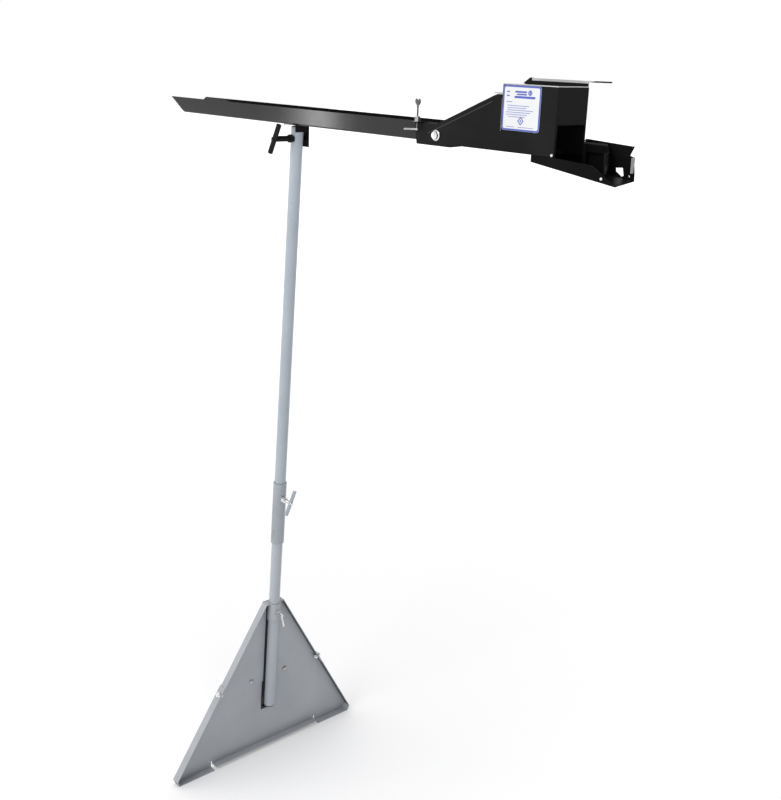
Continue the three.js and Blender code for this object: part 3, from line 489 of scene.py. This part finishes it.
def label_piece(name, outlines, front, back, material, *replaced):
    """Flat outlines in the label's plane, each a thin closed slab."""
    vertices = []
    faces = []
    for outline in outlines:
        first = len(vertices)
        count = len(outline)
        vertices += [at_label(x, front, z) for x, z in outline]
        vertices += [at_label(x, back, z) for x, z in outline]
        faces.append([first + i for i in reversed(range(count))])
        faces.append([first + count + i for i in range(count)])
        for i in range(count):
            j = (i + 1) % count
            faces.append([first + i, first + j, first + count + j, first + count + i])
    mesh = bpy.data.meshes.new(name)
    mesh.from_pydata(vertices, [], faces)
    work = bmesh.new()
    work.from_mesh(mesh)
    bmesh.ops.recalc_face_normals(work, faces=work.faces)
    work.to_mesh(mesh)
    work.free()
    obj = link(bpy.data.objects.new(name, mesh))
    return finish_piece(obj, material, "head", "label", *replaced)


def ring(outer, inner):
    """A closed loop between two outlines with the same number of points, as quads."""
    count = len(outer)
    return [[outer[i], outer[(i + 1) % count], inner[(i + 1) % count], inner[i]] for i in range(count)]


def bar(x0, x1, z0, z1, slant=0.0):
    return [(x0, z0), (x1, z0), (x1 + slant, z1), (x0 + slant, z1)]


def disc(cx, cz, radius, steps=20):
    return [
        (cx + radius * math.cos(math.tau * i / steps), cz + radius * math.sin(math.tau * i / steps))
        for i in range(steps)
    ]


def from_left(across):
    return LABEL_LEFT + across


def from_top(down):
    return LABEL_HIGH - down


def border_outline(inset, radius):
    return rounded(LABEL_LEFT + inset, LABEL_RIGHT - inset, LABEL_LOW + inset, LABEL_HIGH - inset, radius)


label_piece(
    "control_label_sheet",
    [border_outline(0, 6)],
    LABEL_FRONT,
    LABEL_BACK,
    label_face,
    "control_label",
)
border = ring(border_outline(0.2, 5.8), border_outline(BORDER, BORDER))
label_piece("control_label_border", border, PRINT_FRONT, PRINT_BACK, label_blue)
diamond = (from_left(DIAMOND_RIGHT), LABEL_LOW + DIAMOND_UP)
marks = [
    bar(from_left(start), from_left(stop), from_top(low), from_top(high), slant)
    for start, stop, low, high, slant in (
        (10, 17, 14, 11.5, 0),
        (10, 17, 21.5, 19, 0),
        (31, 62, 14, 10.5, 1),
        (36, 62, 18.5, 15.5, 1),
        (30, 84, 24.5, 20, 1.5),
    )
]
marks += ring(disc(*diamond, 8.5, 4), disc(*diamond, 5.5, 4)) + [disc(*diamond, 2.6, 4)]
label_piece("control_label_marks", marks, PRINT_FRONT, PRINT_BACK, label_blue)
ball = (from_left(BALL_RIGHT), from_top(BALL_DOWN))
label_piece("control_label_ball", [disc(*ball, BALL_RADIUS)], PRINT_FRONT, PRINT_BACK, label_blue)
stitches = []
for side in (-1, 1):
    for i in range(-3, 4):
        angle = math.radians(i * 13 + (180 if side > 0 else 0))
        x = ball[0] + side * 5.6 + SEAM_RADIUS * math.cos(angle)
        z = ball[1] - side * SEAM_RADIUS * math.sin(angle)
        stitches.append(bar(x - 0.5, x + 0.5, z - 0.28, z + 0.28))
label_piece("control_label_stitches", stitches, PRINT_FRONT - 0.04, PRINT_FRONT - 0.01, label_face)
lines = [bar(from_left(10), from_left(25), from_top(33), from_top(31.2))]
for row, (start, stop) in enumerate(((13, 70), (13, 63), (13, 81), (10, 74), (10, 66), (16, 60))):
    z = from_top(38.5) - LINE_STEP * row
    lines.append(bar(from_left(start), from_left(stop), z - 1.3, z + 0.3))
for start, stop in ((12, 34), (44, 84)):
    lines.append(bar(from_left(start), from_left(stop), LABEL_LOW + 6.6, LABEL_LOW + 8.0))
label_piece("control_label_lines", lines, PRINT_FRONT, PRINT_BACK, label_grey)

# ---------------------------------------------------------------- floor and light
FLOOR_HALF = 30
floor_corners = [(x * FLOOR_HALF, y * FLOOR_HALF, 0) for x, y in ((-1, -1), (1, -1), (1, 1), (-1, 1))]
floor_mesh = bpy.data.meshes.new("floor")
floor_mesh.from_pydata(floor_corners, [], [(0, 1, 2, 3)])
floor = link(bpy.data.objects.new("floor", floor_mesh))
floor_material, floor_tree, floor_shader = new_material("floor")
floor_shader.inputs["Base Color"].default_value = (0.87, 0.87, 0.88, 1)
floor_shader.inputs["Roughness"].default_value = 1.0
floor_shader.inputs["Specular IOR Level"].default_value = 0.1
# The floor glows, more strongly with distance, so that it grows whiter and meets the background without a
# line.
floor_at = floor_tree.nodes.new("ShaderNodeTexCoord")
floor_reach = floor_tree.nodes.new("ShaderNodeVectorMath")
floor_reach.operation = "LENGTH"
floor_tree.links.new(floor_at.outputs["Object"], floor_reach.inputs[0])
floor_glow = floor_tree.nodes.new("ShaderNodeMapRange")
for socket, value in (("From Min", 0.5), ("From Max", 7.0), ("To Min", 0.17), ("To Max", 0.62)):
    floor_glow.inputs[socket].default_value = value
floor_tree.links.new(floor_reach.outputs["Value"], floor_glow.inputs["Value"])
floor_tree.links.new(floor_glow.outputs["Result"], floor_shader.inputs["Emission Strength"])
floor_shader.inputs["Emission Color"].default_value = (1, 1, 1, 1)
floor_mesh.materials.append(floor_material)


def area_light(name, at, towards, size, watts):
    data = bpy.data.lights.new(name, "AREA")
    data.shape = "RECTANGLE"
    data.size, data.size_y = size
    data.energy = watts
    light = bpy.data.objects.new(name, data)
    light.location = at
    light.rotation_euler = (Vector(towards) - Vector(at)).to_track_quat("-Z", "Y").to_euler()
    link(light)


# White all round, dimmer on the side that the end of the box faces.
world = bpy.data.worlds.new("studio")
bpy.context.scene.world = world
world.use_nodes = True
sky = world.node_tree
direction = sky.nodes.new("ShaderNodeTexCoord")
split = sky.nodes.new("ShaderNodeSeparateXYZ")
sky.links.new(direction.outputs["Generated"], split.inputs["Vector"])
shade = sky.nodes.new("ShaderNodeMapRange")
for socket, value in (("From Min", -0.1), ("From Max", 0.8), ("To Min", 1.0), ("To Max", 0.16)):
    shade.inputs[socket].default_value = value
sky.links.new(split.outputs["X"], shade.inputs["Value"])
sky.nodes["Background"].inputs["Color"].default_value = (1, 1, 1, 1)
sky.links.new(shade.outputs["Result"], sky.nodes["Background"].inputs["Strength"])
area_light("key", (0.9, -3.4, 3.6), (0.2, 0, 1.1), (1.6, 1.6), 60)
area_light("front", (3.6, -1.2, 3.4), (0.0, 0, 0.4), (1.0, 1.0), 15)
# Two narrow lamps, whose reflections lie on the trough's near wall on both sides of the leg.
area_light("glint", (-1.29, -1.276, 1.811), (0.282, -0.045, 1.93), (0.12, 0.45), 1.35)
area_light("glint_left", (-1.406, -1.244, 1.814), (0.19, -0.045, 1.93), (0.07, 0.4), 0.22)
bpy.context.scene.view_settings.view_transform = "Standard"
